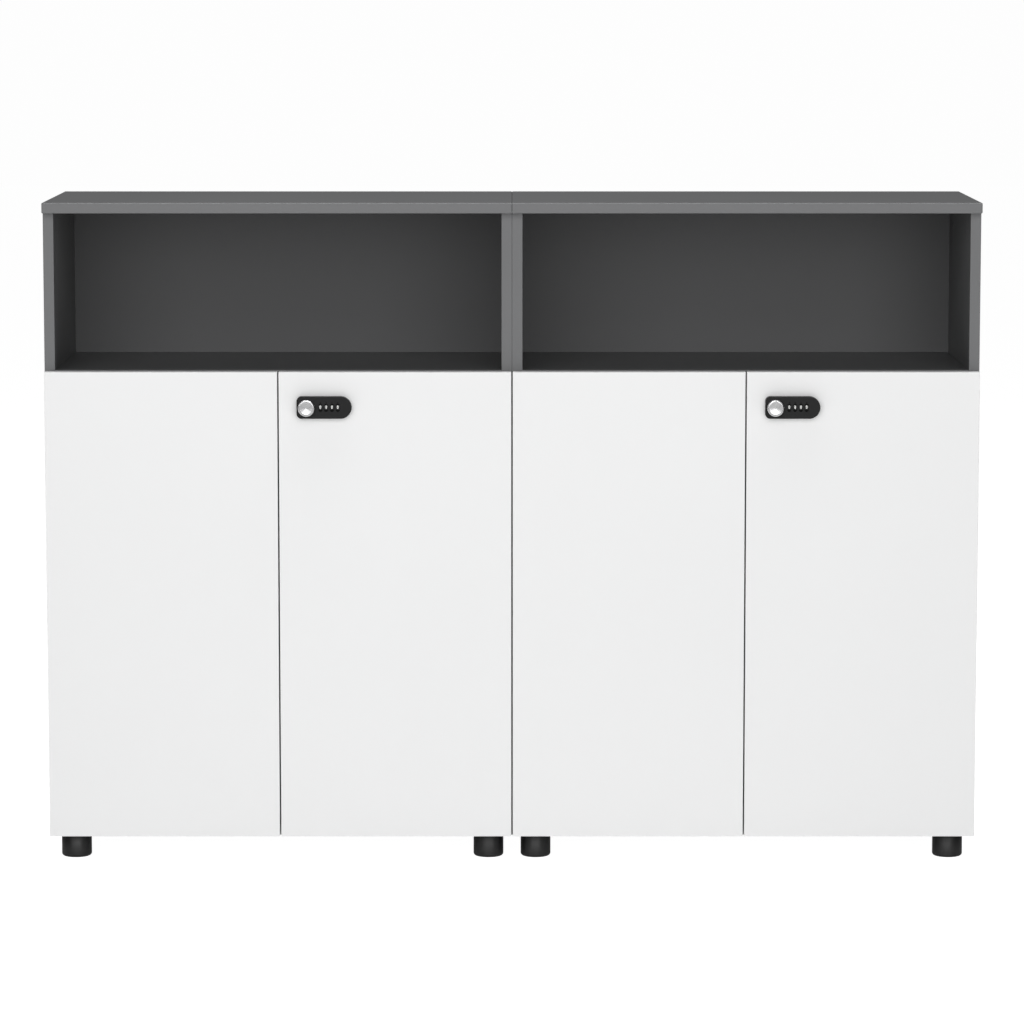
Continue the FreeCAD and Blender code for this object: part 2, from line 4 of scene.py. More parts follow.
import bpy
import numpy as np
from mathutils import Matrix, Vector


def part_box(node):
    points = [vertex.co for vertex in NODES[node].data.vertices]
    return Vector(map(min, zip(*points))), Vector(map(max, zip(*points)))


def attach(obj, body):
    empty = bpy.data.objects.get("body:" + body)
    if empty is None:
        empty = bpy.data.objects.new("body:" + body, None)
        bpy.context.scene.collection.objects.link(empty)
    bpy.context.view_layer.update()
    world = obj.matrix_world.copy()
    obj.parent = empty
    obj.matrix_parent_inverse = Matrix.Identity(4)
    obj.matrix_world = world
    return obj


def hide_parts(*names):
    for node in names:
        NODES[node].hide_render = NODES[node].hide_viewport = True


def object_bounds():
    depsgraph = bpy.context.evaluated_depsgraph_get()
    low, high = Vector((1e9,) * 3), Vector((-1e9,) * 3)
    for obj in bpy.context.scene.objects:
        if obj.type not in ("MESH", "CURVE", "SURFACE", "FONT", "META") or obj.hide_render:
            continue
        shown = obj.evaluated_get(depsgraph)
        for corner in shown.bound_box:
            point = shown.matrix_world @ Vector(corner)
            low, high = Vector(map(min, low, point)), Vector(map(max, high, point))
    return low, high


bl_info = {
    "name": "Office Cabinet Dressing",
    "version": (1, 0, 0),
    "blender": (4, 5, 0),
    "location": "3D View > Sidebar > Cabinet",
    "description": "Finishes for a pair of two-door office cabinets with dial locks",
    "category": "Object",
}

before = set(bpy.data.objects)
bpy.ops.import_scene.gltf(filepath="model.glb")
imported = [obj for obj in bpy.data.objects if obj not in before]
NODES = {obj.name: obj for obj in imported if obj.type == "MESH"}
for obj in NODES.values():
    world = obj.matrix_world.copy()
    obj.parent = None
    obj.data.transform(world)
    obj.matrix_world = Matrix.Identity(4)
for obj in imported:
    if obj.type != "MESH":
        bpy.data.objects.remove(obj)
CAD_BOX = [list(corner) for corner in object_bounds()]
UNITS = ("left_unit", "right_unit")
NO_BAND = -100.0
FEET_LOW, FEET_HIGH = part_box("feet")
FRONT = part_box("left_unit_left_door")[0].y
MM = 0.001
DIALS = 4
DIGITS = 10
BACKDROP = 0.985
SENSOR_WIDTH = 36.0
CLIP_END = 60.0

# Name, power setting, width and height, place, and the point that the light faces.
LIGHTS = (
    ("bank_light", "bank_power", (6.0, 3.0), (-0.2, FRONT - 4.0, 2.3), (0.0, FRONT, 0.62)),
    ("low_light", "low_power", (2.0, 0.5), (2.2, FRONT - 5.5, 0.75), (0.0, FRONT, 0.8)),
    ("top_light", "top_power", (3.4, 1.4), (-0.1, 0.0, 3.6), (-0.1, 0.001, 0.0)),
)


class CabinetFinishes(bpy.types.PropertyGroup):
    """Colours and gloss of the cabinet's finishes."""

    # Painted light, partly: the board grey is set darker so the niches read shaded, and the lighter edge-banding grey
    # stands in for light falling on the front edges; the edge banding itself is real.
    grey: bpy.props.FloatVectorProperty(
        name="Board grey", description="Laminate of the carcass boards", subtype="COLOR", size=3, min=0.0, max=1.0,
        default=(0.116, 0.117, 0.1194))
    band: bpy.props.FloatVectorProperty(
        name="Edge grey", description="Edge band on the boards' front edges", subtype="COLOR", size=3, min=0.0,
        max=1.0, default=(0.170, 0.1715, 0.175))
    band_thickness: bpy.props.FloatProperty(
        name="Edge band", description="Thickness of the edge band on the boards' front edges", unit="LENGTH",
        min=0.0, max=0.003, default=0.0012)
    grey_gloss: bpy.props.FloatProperty(
        name="Board roughness", description="Roughness of the grey laminate", subtype="FACTOR", min=0.0, max=1.0,
        default=0.42)
    white: bpy.props.FloatVectorProperty(
        name="Door white", description="Laminate of the doors", subtype="COLOR", size=3, min=0.0, max=1.0,
        default=(0.862, 0.864, 0.865))
    white_gloss: bpy.props.FloatProperty(
        name="Door roughness", description="Roughness of the white laminate", subtype="FACTOR", min=0.0, max=1.0,
        default=0.42)
    black: bpy.props.FloatVectorProperty(
        name="Lock black", description="Paint of the lock bodies", subtype="COLOR", size=3, min=0.0, max=1.0,
        default=(0.010, 0.010, 0.0105))
    foot: bpy.props.FloatVectorProperty(
        name="Foot black", description="Moulded plastic of the feet", subtype="COLOR", size=3, min=0.0, max=1.0,
        default=(0.006, 0.006, 0.0061))
    knob: bpy.props.FloatVectorProperty(
        name="Knob metal", description="Satin metal of the lock knobs", subtype="COLOR", size=3, min=0.0, max=1.0,
        default=(0.80, 0.80, 0.81))
    zinc: bpy.props.FloatVectorProperty(
        name="Zinc", description="Plating of hinges, fittings and screws", subtype="COLOR", size=3, min=0.0, max=1.0,
        default=(0.60, 0.61, 0.62))


class CabinetSizes(bpy.types.PropertyGroup):
    """Sizes of the dressing pieces, in metres."""

    foot_radius: bpy.props.FloatProperty(
        name="Foot radius", description="Radius of a round foot", unit="LENGTH", min=0.01, max=0.06, default=0.026)
    foot_round: bpy.props.FloatProperty(
        name="Foot rounding", description="Rounding of a foot's lower edge", unit="LENGTH", min=0.0005, max=0.012,
        default=0.005)
    window_width: bpy.props.FloatProperty(
        name="Window width", description="Width of a dial's window", unit="LENGTH", min=0.003, max=0.009,
        default=0.0067)
    window_height: bpy.props.FloatProperty(
        name="Window height", description="Height of a dial's window", unit="LENGTH", min=0.008, max=0.02,
        default=0.0139)
    window_top: bpy.props.FloatProperty(
        name="Window top", description="Open height above the lock's middle", unit="LENGTH", min=0.002, max=0.006,
        default=0.0046)
    window_bottom: bpy.props.FloatProperty(
        name="Window bottom", description="Open height below the lock's middle", unit="LENGTH", min=0.002, max=0.006,
        default=0.0034)
    shade_gap: bpy.props.FloatProperty(
        name="Shade gap", description="Room between the dials and the window shades", unit="LENGTH",
        min=0.00005, max=0.0006, default=0.0001)
    shade_thickness: bpy.props.FloatProperty(
        name="Shade thickness", description="Thickness of the window shades", unit="LENGTH", min=0.00005, max=0.0006,
        default=0.00015)
    mark_radius: bpy.props.FloatProperty(
        name="Mark radius", description="Radius of the reading marks", unit="LENGTH", min=0.0003, max=0.002,
        default=0.0011)
    mark_rise: bpy.props.FloatProperty(
        name="Mark rise", description="How far the reading marks stand proud", unit="LENGTH", min=0.00005, max=0.0006,
        default=0.0003)
    mark_height: bpy.props.FloatProperty(
        name="Mark height", description="Height of the reading marks over the lock's middle", unit="LENGTH",
        min=0.006, max=0.014, default=0.0085)
    numeral_height: bpy.props.FloatProperty(
        name="Numeral height", description="Height of the numbers on the dials", unit="LENGTH", min=0.002, max=0.009,
        default=0.0056)
    numeral_weight: bpy.props.FloatProperty(
        name="Numeral weight", description="Extra thickness of the numbers' strokes", unit="LENGTH", min=0.0,
        max=0.0006, default=0.00026)
    numeral_width: bpy.props.FloatProperty(
        name="Numeral width", description="How narrow the numbers are drawn", subtype="FACTOR", min=0.3, max=1.2,
        default=0.72)
    numeral_rise: bpy.props.FloatProperty(
        name="Numeral rise", description="How far above the dial's front line a set number stands", unit="LENGTH",
        min=-0.003, max=0.003, default=0.0012)
    numeral_lift: bpy.props.FloatProperty(
        name="Numeral lift", description="How far the numbers stand proud of the dial", unit="LENGTH", min=0.00002,
        max=0.0003, default=0.00006)


class CabinetStage(bpy.types.PropertyGroup):
    """Camera, lights and floor."""

    camera_distance: bpy.props.FloatProperty(
        name="Camera distance", description="From the doors' front to the camera", unit="LENGTH", min=1.0, max=20.0,
        default=7.552)
    camera_height: bpy.props.FloatProperty(
        name="Camera height", description="Height of the camera above the floor", unit="LENGTH", min=0.1, max=5.0,
        default=1.533)
    aim_height: bpy.props.FloatProperty(
        name="Aim height", description="Height on the doors that the camera looks at", unit="LENGTH", min=0.0, max=2.0,
        default=0.611)
    lens: bpy.props.FloatProperty(
        name="Lens", description="Focal length", unit="CAMERA", min=20.0, max=400.0, default=156.1)
    floor_tone: bpy.props.FloatVectorProperty(
        name="Floor tone", description="Colour of the floor", subtype="COLOR", size=3, min=0.0, max=1.0,
        default=(0.50, 0.50, 0.50))
    floor_reach: bpy.props.FloatProperty(
        name="Floor reach", description="From the middle of the floor to its edges", unit="LENGTH", min=2.0, max=200.0,
        default=24.0)
    floor_glow: bpy.props.FloatProperty(
        name="Floor glow", description="Light of the floor as the camera sees it", min=0.0, max=2.0, default=0.96)
    floor_bounce: bpy.props.FloatProperty(
        name="Floor bounce", description="Light of the floor as it falls on the cabinet", min=0.0, max=2.0,
        default=0.55)
    floor_gleam: bpy.props.FloatProperty(
        name="Floor gleam", description="Light of the floor as glossy pieces mirror it", min=0.0, max=2.0,
        default=0.12)
    bank_power: bpy.props.FloatProperty(
        name="Bank power", description="Power of the wide light over the camera in watts", min=0.0, max=4000.0,
        default=132.0)
    low_power: bpy.props.FloatProperty(
        name="Low power", description="Power of the low light that reaches into the niches in watts", min=0.0,
        max=4000.0, default=5.0)
    top_power: bpy.props.FloatProperty(
        name="Top power", description="Power of the light over the cabinet in watts", min=0.0, max=4000.0,
        default=90.0)
    ambient: bpy.props.FloatProperty(
        name="Ambient", description="Strength of the even light from all round", min=0.0, max=3.0, default=0.05)


def put_mesh(name, points, faces, material, smooth=True):
    """A mesh object at the origin from an array of points and lists of corner indices."""
    mesh = bpy.data.meshes.new(name)
    mesh.from_pydata(np.asarray(points, float).tolist(), [], [list(f) for f in faces])
    mesh.validate()
    mesh.update()
    mesh.polygons.foreach_set("use_smooth", np.full(len(mesh.polygons), smooth))
    mesh.materials.append(material)
    piece = bpy.data.objects.new(name, mesh)
    bpy.context.scene.collection.objects.link(piece)
    return piece


def turned_points(profile, centre, axis, count):
    """Surface of revolution S(s, a) = centre + along(s) * axis + radius(s) * (cos a, sin a) across the axis.

    profile is an array of (radius, along) rows that starts and ends on the axis; the two poles are single points.
    """
    axis = np.asarray(axis, float)
    side = np.array([1.0, 0.0, 0.0]) if abs(axis[0]) < 0.5 else np.array([0.0, 0.0, 1.0])
    third = np.cross(axis, side)
    angle = np.linspace(0.0, 2.0 * np.pi, count, endpoint=False)
    ring = np.cos(angle)[:, None] * side + np.sin(angle)[:, None] * third
    body = profile[1:-1]
    points = np.asarray(centre) + body[:, 1, None, None] * axis + body[:, 0, None, None] * ring[None]
    poles = np.asarray(centre) + profile[[0, -1], 1][:, None] * axis
    points = np.vstack([points.reshape(-1, 3), poles])
    rows, last = len(body), len(body) * count
    here = np.arange(count)
    after = (here + 1) % count
    row = np.arange(rows - 1)[:, None] * count
    quads = np.stack([row + here, row + after, row + count + after, row + count + here], -1).reshape(-1, 4)
    start = np.stack([np.full(count, last), after, here], -1)
    end = np.stack([np.full(count, last + 1), last - count + here, last - count + after], -1)
    return points, [*quads.tolist(), *start.tolist(), *end.tolist()]


def join_surfaces(surfaces):
    """Several (points, faces) pairs as one, with the later faces' corners counted on from the earlier points."""
    points, faces, offset = [], [], 0
    for new_points, new_faces in surfaces:
        points.append(new_points)
        faces += [[corner + offset for corner in face] for face in new_faces]
        offset += len(new_points)
    return np.vstack(points), faces


def quarter(centre_radius, centre_along, size, start, stop, steps=8):
    """Arc of a turned profile: (centre_radius + size cos t, centre_along + size sin t) for t from start to stop."""
    t = np.radians(np.linspace(start, stop, steps))
    return np.stack([centre_radius + size * np.cos(t), centre_along + size * np.sin(t)], -1)


def socket(group, name, way, kind, default=None):
    """One socket of a node group, with its default where it has one."""
    made = group.interface.new_socket(name=name, in_out=way, socket_type=kind)
    if default is not None:
        made.default_value = default
    return made


def start_group(name, inputs):
    """An empty shader node group with the given inputs and the outputs Color, Roughness and Height."""
    group = bpy.data.node_groups.new(name, "ShaderNodeTree")
    for label, kind, default in inputs:
        socket(group, label, "INPUT", kind, default)
    socket(group, "Color", "OUTPUT", "NodeSocketColor")
    socket(group, "Roughness", "OUTPUT", "NodeSocketFloat")
    socket(group, "Height", "OUTPUT", "NodeSocketFloat")
    return group, group.nodes.new("NodeGroupInput"), group.nodes.new("NodeGroupOutput")


def feed(tree, target, source):
    """Link source to target where it is a socket, or set target to it where it is a number."""
    if isinstance(source, bpy.types.NodeSocket):
        tree.links.new(source, target)
    else:
        target.default_value = source


def sums(tree, operation, first, second=0.0, third=None):
    """Output of a Math node on sockets or numbers."""
    node = tree.nodes.new("ShaderNodeMath")
    node.operation = operation
    for target, source in zip(node.inputs, (first, second, third)):
        if source is not None:
            feed(tree, target, source)
    return node.outputs[0]


def noise(tree, vector, scale, detail, roughness=0.5):
    """Noise from 0 to 1 at the vector."""
    node = tree.nodes.new("ShaderNodeTexNoise")
    tree.links.new(vector, node.inputs["Vector"])
    feed(tree, node.inputs["Scale"], scale)
    node.inputs["Detail"].default_value = detail
    node.inputs["Roughness"].default_value = roughness
    return node.outputs["Fac"]


def object_place(tree):
    """Object coordinates, in metres."""
    return tree.nodes.new("ShaderNodeTexCoord").outputs["Object"]


def tinted(tree, tone, amount):
    """tone times amount, channel by channel."""
    node = tree.nodes.new("ShaderNodeVectorMath")
    node.operation = "SCALE"
    feed(tree, node.inputs[0], tone)
    feed(tree, node.inputs["Scale"], amount)
    return node.outputs[0]


def added(tree, first, second):
    """first plus second, channel by channel."""
    node = tree.nodes.new("ShaderNodeVectorMath")
    node.operation = "ADD"
    feed(tree, node.inputs[0], first)
    feed(tree, node.inputs[1], second)
    return node.outputs[0]


def laminate_group():
    """Printed laminate: fine flecks, broad cloudiness and a pearl emboss, all from noise at the object's place.

    In front of the Band Line, along y, the laminate gives way to the edge banding's lighter tone: partly painted light,
    keeping the front edges lit against the darker, shaded niches.
    """
    group, given, result = start_group("laminate_print", [
        ("Tone", "NodeSocketColor", (0.2, 0.2, 0.2, 1.0)), ("Fleck", "NodeSocketFloat", 0.1),
        ("Fleck Scale", "NodeSocketFloat", 900.0), ("Cloud", "NodeSocketFloat", 0.05),
        ("Roughness", "NodeSocketFloat", 0.45), ("Emboss", "NodeSocketFloat", 0.5),
        ("Band Tone", "NodeSocketColor", (0.2, 0.2, 0.2, 1.0)), ("Band Line", "NodeSocketFloat", NO_BAND)])
    place = object_place(group)
    split = group.nodes.new("ShaderNodeSeparateXYZ")
    feed(group, split.inputs[0], place)
    # Painted light, partly: the lighter edge-banding tone in front of the Band Line stands in for light falling on the
    # front edges.
    band = sums(group, "LESS_THAN", split.outputs["Y"], given.outputs["Band Line"])
    tone = tinted(group, given.outputs["Tone"], sums(group, "SUBTRACT", 1.0, band))
    tone = added(group, tone, tinted(group, given.outputs["Band Tone"], band))
    fine = sums(group, "SUBTRACT", noise(group, place, given.outputs["Fleck Scale"], 3.0, 0.6), 0.5)
    broad = sums(group, "SUBTRACT", noise(group, place, 3.2, 4.0, 0.55), 0.5)
    shade = sums(group, "MULTIPLY_ADD", fine, given.outputs["Fleck"], 1.0)
    shade = sums(group, "MULTIPLY_ADD", broad, given.outputs["Cloud"], shade)
    feed(group, result.inputs["Color"], tinted(group, tone, shade))
    rough = sums(group, "MULTIPLY_ADD", fine, 0.10, given.outputs["Roughness"])
    feed(group, result.inputs["Roughness"], sums(group, "MULTIPLY_ADD", broad, 0.12, rough))
    feed(group, result.inputs["Height"], sums(group, "MULTIPLY", fine, given.outputs["Emboss"]))
    return group


def brushed_group():
    """Brushed or plated metal: streaks of noise drawn out along one direction, and soft stains."""
    group, given, result = start_group("brushed_metal", [
        ("Tone", "NodeSocketColor", (0.6, 0.6, 0.6, 1.0)), ("Stretch", "NodeSocketVector", (40.0, 40.0, 900.0)),
        ("Streak", "NodeSocketFloat", 0.2), ("Stain", "NodeSocketFloat", 0.15),
        ("Roughness", "NodeSocketFloat", 0.3), ("Wear", "NodeSocketFloat", 0.2)])
    drawn = group.nodes.new("ShaderNodeVectorMath")
    drawn.operation = "MULTIPLY"
    place = object_place(group)
    feed(group, drawn.inputs[0], place)
    feed(group, drawn.inputs[1], given.outputs["Stretch"])
    streak = sums(group, "SUBTRACT", noise(group, drawn.outputs[0], 1.0, 3.0), 0.5)
    stain = sums(group, "SUBTRACT", noise(group, place, 60.0, 3.0), 0.5)
    shade = sums(group, "MULTIPLY_ADD", streak, given.outputs["Streak"], 1.0)
    shade = sums(group, "MULTIPLY_ADD", stain, given.outputs["Stain"], shade)
    feed(group, result.inputs["Color"], tinted(group, given.outputs["Tone"], shade))
    worn = sums(group, "ADD", streak, stain)
    rough = sums(group, "MULTIPLY_ADD", worn, given.outputs["Wear"], given.outputs["Roughness"])
    feed(group, result.inputs["Roughness"], rough)
    feed(group, result.inputs["Height"], streak)
    return group


def moulded_group():
    """Moulded plastic or paint: spark-eroded grain, rubbed patches and a trace of dust in large soft spots."""
    group, given, result = start_group("moulded_grain", [
        ("Tone", "NodeSocketColor", (0.02, 0.02, 0.02, 1.0)), ("Grain Scale", "NodeSocketFloat", 1500.0),
        ("Rubbed", "NodeSocketFloat", 0.3), ("Dust", "NodeSocketFloat", 0.2), ("Roughness", "NodeSocketFloat", 0.4)])
    place = object_place(group)
    grain = sums(group, "SUBTRACT", noise(group, place, given.outputs["Grain Scale"], 2.0), 0.5)
    rubbed = sums(group, "SUBTRACT", noise(group, place, 45.0, 4.0, 0.6), 0.5)
    dust = sums(group, "SUBTRACT", noise(group, place, 14.0, 3.0), 0.45)
    shade = sums(group, "MULTIPLY_ADD", rubbed, given.outputs["Rubbed"], 1.0)
    shade = sums(group, "MULTIPLY_ADD", sums(group, "MAXIMUM", dust, 0.0), given.outputs["Dust"], shade)
    feed(group, result.inputs["Color"], tinted(group, given.outputs["Tone"], shade))
    rough = sums(group, "MULTIPLY_ADD", grain, 0.12, given.outputs["Roughness"])
    feed(group, result.inputs["Roughness"], sums(group, "MULTIPLY_ADD", rubbed, 0.15, rough))
    feed(group, result.inputs["Height"], grain)
    return group


def group_named(name, make):
    """The node group of this name, made on first use."""
    return bpy.data.node_groups.get(name) or make()


def finish_of(name, make_group, group_name, values, bump, metallic=0.0, coat=0.0, specular=0.5):
    """A material whose Principled shader takes colour, roughness and bump from one of the groups."""
    name = "finish_" + name
    if name in bpy.data.materials:
        return bpy.data.materials[name]
    material = bpy.data.materials.new(name)
    material.use_nodes = True
    tree = material.node_tree
    shader = next(n for n in tree.nodes if n.type == "BSDF_PRINCIPLED")
    texture = tree.nodes.new("ShaderNodeGroup")
    texture.node_tree = group_named(group_name, make_group)
    for label, value in values.items():
        texture.inputs[label].default_value = value
    tree.links.new(texture.outputs["Color"], shader.inputs["Base Color"])
    tree.links.new(texture.outputs["Roughness"], shader.inputs["Roughness"])
    raised = tree.nodes.new("ShaderNodeBump")
    raised.inputs["Strength"].default_value = bump[0]
    raised.inputs["Distance"].default_value = bump[1]
    tree.links.new(texture.outputs["Height"], raised.inputs["Height"])
    tree.links.new(raised.outputs["Normal"], shader.inputs["Normal"])
    shader.inputs["Metallic"].default_value = metallic
    shader.inputs["Coat Weight"].default_value = coat
    shader.inputs["Specular IOR Level"].default_value = specular
    tone = values["Tone"]
    material.diffuse_color = (tone[0], tone[1], tone[2], 1.0)
    return material


def four(colour):
    """A colour with full alpha."""
    return (colour[0], colour[1], colour[2], 1.0)


def grey_laminate(finishes, board, band_line):
    # The edge-banding grey is lighter than the board grey: partly painted light, standing in for light on the front
    # edges and shade in the niches.
    return finish_of("grey_" + board, laminate_group, "laminate_print",
                     {"Tone": four(finishes.grey), "Fleck": 0.16, "Fleck Scale": 700.0, "Cloud": 0.10,
                      "Roughness": finishes.grey_gloss, "Emboss": 0.8, "Band Tone": four(finishes.band),
                      "Band Line": band_line}, (0.12, 0.0004), specular=0.26)


def white_laminate(finishes):
    return finish_of("white_laminate", laminate_group, "laminate_print",
                     {"Tone": four(finishes.white), "Fleck": 0.02, "Fleck Scale": 520.0, "Cloud": 0.022,
                      "Roughness": finishes.white_gloss, "Emboss": 0.7}, (0.10, 0.0004), specular=0.45)


def foot_plastic(finishes):
    return finish_of("foot_plastic", moulded_group, "moulded_grain",
                     {"Tone": four(finishes.foot), "Grain Scale": 1400.0, "Rubbed": 0.3, "Dust": 0.4,
                      "Roughness": 0.42}, (0.10, 0.0003), specular=0.8)


def lock_paint(finishes):
    return finish_of("lock_paint", moulded_group, "moulded_grain",
                     {"Tone": four(finishes.black), "Grain Scale": 2200.0, "Rubbed": 0.35, "Dust": 0.3,
                      "Roughness": 0.44}, (0.10, 0.0002), specular=0.25)


def dial_plastic():
    return finish_of("dial_plastic", moulded_group, "moulded_grain",
                     {"Tone": (0.012, 0.012, 0.012, 1.0), "Grain Scale": 2600.0, "Rubbed": 0.4, "Dust": 0.2,
                      "Roughness": 0.28}, (0.05, 0.0002), coat=0.2)


def window_black():
    return finish_of("window_black", moulded_group, "moulded_grain",
                     {"Tone": (0.004, 0.004, 0.004, 1.0), "Grain Scale": 2600.0, "Rubbed": 0.4, "Dust": 0.2,
                      "Roughness": 0.55}, (0.05, 0.0002), specular=0.12)


def numeral_paint():
    return finish_of("numeral_paint", moulded_group, "moulded_grain",
                     {"Tone": (0.86, 0.86, 0.84, 1.0), "Grain Scale": 3000.0, "Rubbed": 0.08, "Dust": -0.05,
                      "Roughness": 0.45}, (0.05, 0.0001))


def knob_metal(finishes):
    return finish_of("knob_metal", brushed_group, "brushed_metal",
                     {"Tone": four(finishes.knob), "Stretch": (900.0, 900.0, 900.0), "Streak": 0.03, "Stain": 0.03,
                      "Roughness": 0.24, "Wear": 0.02}, (0.01, 0.0001), metallic=1.0)


def zinc_plate(finishes):
    return finish_of("zinc_plate", brushed_group, "brushed_metal",
                     {"Tone": four(finishes.zinc), "Stretch": (420.0, 60.0, 420.0), "Streak": 0.22, "Stain": 0.25,
                      "Roughness": 0.30}, (0.08, 0.0002), metallic=1.0)


def capped_grey(finishes):
    return finish_of("capped_grey", moulded_group, "moulded_grain",
                     {"Tone": four(finishes.grey), "Grain Scale": 1200.0, "Rubbed": 0.2, "Dust": 0.1,
                      "Roughness": 0.5}, (0.08, 0.0002), specular=0.26)


def bumper_rubber():
    return finish_of("bumper_rubber", moulded_group, "moulded_grain",
                     {"Tone": (0.42, 0.42, 0.40, 1.0), "Grain Scale": 900.0, "Rubbed": 0.15, "Dust": 0.1,
                      "Roughness": 0.55}, (0.1, 0.0002))


def paint_nodes(names, material):
    """Give CAD nodes one finish in every material slot."""
    for name in names:
        slots = NODES[name].data.materials
        if len(slots) == 0:
            slots.append(material)
        for i in range(len(slots)):
            slots[i] = material


class CABINET_OT_boards(bpy.types.Operator):
    """Finish the carcass boards in grey laminate"""

    bl_idname = "cabinet.boards"
    bl_label = "Carcass Boards"

    def execute(self, context):
        finishes = context.scene.cabinet_finishes
        for board in ("top_panel", "left_side_panel", "right_side_panel", "fixed_shelf", "bottom_panel",
                      "adjustable_shelf"):
            nodes = [unit + "_" + board for unit in UNITS]
            # The front strip of each board, before its Band Line, takes the lighter edge-banding grey, partly painted
            # light on the front edges.
            paint_nodes(nodes, grey_laminate(finishes, board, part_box(nodes[0])[0].y + finishes.band_thickness))
        paint_nodes([unit + "_back_panel" for unit in UNITS], grey_laminate(finishes, "back_panel", NO_BAND))
        return {"FINISHED"}


class CABINET_OT_doors(bpy.types.Operator):
    """Finish the doors in white laminate"""

    bl_idname = "cabinet.doors"
    bl_label = "Doors"

    def execute(self, context):
        names = [u + s for u in UNITS for s in ("_left_door", "_right_door")]
        paint_nodes(names, white_laminate(context.scene.cabinet_finishes))
        return {"FINISHED"}


def foot_profile(radius, rounding, height):
    """Half outline of a foot from the screw well's floor, down and out round the tread, up to the top's middle."""
    well, floor, well_edge, mouth = 7.0 * MM, 26.0 * MM, 0.6 * MM, 0.8 * MM
    flat, groove, top_edge = 4.0 * MM, 0.35 * MM, 0.6 * MM
    return np.vstack([
        [(0.0, floor), (well - well_edge, floor)],
        quarter(well - well_edge, floor - well_edge, well_edge, 90, 0, 4),
        quarter(well + mouth, mouth, mouth, 180, 270, 5),
        [(radius - rounding - flat, 0.0)],
        quarter(radius - rounding, rounding, rounding, -90, 0, 12),
        [(radius, height - 4.2 * MM), (radius - groove, height - 3.8 * MM),
         (radius - groove, height - 3.4 * MM), (radius, height - 3.0 * MM)],
        quarter(radius - top_edge, height - top_edge, top_edge, 0, 90, 5),
        [(0.0, height)],
    ])


class CABINET_OT_feet(bpy.types.Operator):
    """Turn the round feet with their rounded tread, top collar and screw well"""

    bl_idname = "cabinet.feet"
    bl_label = "Feet"

    def execute(self, context):
        sizes = context.scene.cabinet_sizes
        radius = sizes.foot_radius
        profile = foot_profile(radius, sizes.foot_round, FEET_HIGH.z - FEET_LOW.z)
        outer = FEET_HIGH.x - radius
        inner = CAD_BOX[1][0] - outer
        places = [(x, y, 0.0) for x in (-outer, -inner, inner, outer)
                  for y in (FEET_LOW.y + radius, FEET_HIGH.y - radius)]
        surface = join_surfaces([turned_points(profile, p, (0, 0, 1), 72) for p in places])
        finish = foot_plastic(context.scene.cabinet_finishes)
        paint_nodes(["feet"], finish)
        feet = put_mesh("round_feet", *surface, finish)
        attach(feet, "carcass")
        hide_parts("feet")
        return {"FINISHED"}


class CABINET_OT_locks(bpy.types.Operator):
    """Finish the lock bodies, knobs, cams and clamp plates"""

    bl_idname = "cabinet.locks"
    bl_label = "Lock Bodies"

    def execute(self, context):
        finishes = context.scene.cabinet_finishes
        paint_nodes([u + "_lock_housing" for u in UNITS], lock_paint(finishes))
        paint_nodes([u + "_lock_knob" for u in UNITS], knob_metal(finishes))
        paint_nodes([u + p for u in UNITS for p in ("_lock_cam", "_lock_clamp_plate")], zinc_plate(finishes))
        return {"FINISHED"}


class CABINET_OT_dials(bpy.types.Operator):
    """Finish the number dials and wrap their numerals round them"""

    bl_idname = "cabinet.dials"
    bl_label = "Number Dials"

    def execute(self, context):
        sizes = context.scene.cabinet_sizes
        digits = [digit_mesh(str(d), sizes.numeral_height, sizes.numeral_weight, sizes.numeral_lift)
                  for d in range(DIGITS)]
        for unit in UNITS:
            for i in range(DIALS):
                node = f"{unit}_lock_dial_{i + 1}"
                paint_nodes([node], dial_plastic())
                low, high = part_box(node)
                middle = (low + high) / 2
                radius = (high.z - low.z) / 2
                surfaces = [wrapped_digit(digit, place, middle, radius, sizes) for place, digit in enumerate(digits)]
                ring = put_mesh(node + "_numerals", *join_surfaces(surfaces), numeral_paint(), False)
                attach(ring, node)
        return {"FINISHED"}


def digit_mesh(text, height, weight, lift):
    """Points and faces of one raised numeral, its middle at the origin, x across, y up and z out of the dial."""
    curve = bpy.data.curves.new("numeral", "FONT")
    curve.body = text
    curve.size = height / 0.73
    curve.offset = weight
    curve.extrude = lift
    curve.resolution_u = 3
    shown = bpy.data.objects.new("numeral", curve)
    bpy.context.scene.collection.objects.link(shown)
    graph = bpy.context.evaluated_depsgraph_get()
    mesh = bpy.data.meshes.new_from_object(shown.evaluated_get(graph))
    points = np.zeros(len(mesh.vertices) * 3)
    mesh.vertices.foreach_get("co", points)
    points = points.reshape(-1, 3)
    points[:, :2] -= (points[:, :2].min(0) + points[:, :2].max(0)) / 2
    faces = [list(p.vertices) for p in mesh.polygons]
    points, faces = welded(points, faces)
    bpy.data.objects.remove(shown)
    bpy.data.meshes.remove(mesh)
    bpy.data.curves.remove(curve)
    return points, faces


def welded(points, faces):
    """The same surface with points at one place made one, and with faces that shrink to a line left out."""
    places, number = np.unique(np.round(points, 7), axis=0, return_inverse=True)
    number = number.reshape(-1)
    joined = [list(dict.fromkeys(number[face].tolist())) for face in faces]
    return places, [face for face in joined if len(face) > 2]


def wrapped_digit(digit, place, middle, radius, sizes):
    """Bend a flat numeral round the dial: arc length y becomes the angle y / radius, z is added to the radius."""
    points, faces = digit
    angle = (points[:, 1] + sizes.numeral_rise) / radius + place * 2.0 * np.pi / DIGITS
    reach = radius + points[:, 2]
    bent = np.stack([middle.x + points[:, 0] * sizes.numeral_width, middle.y - reach * np.cos(angle),
                     middle.z + reach * np.sin(angle)], -1)
    return bent, faces


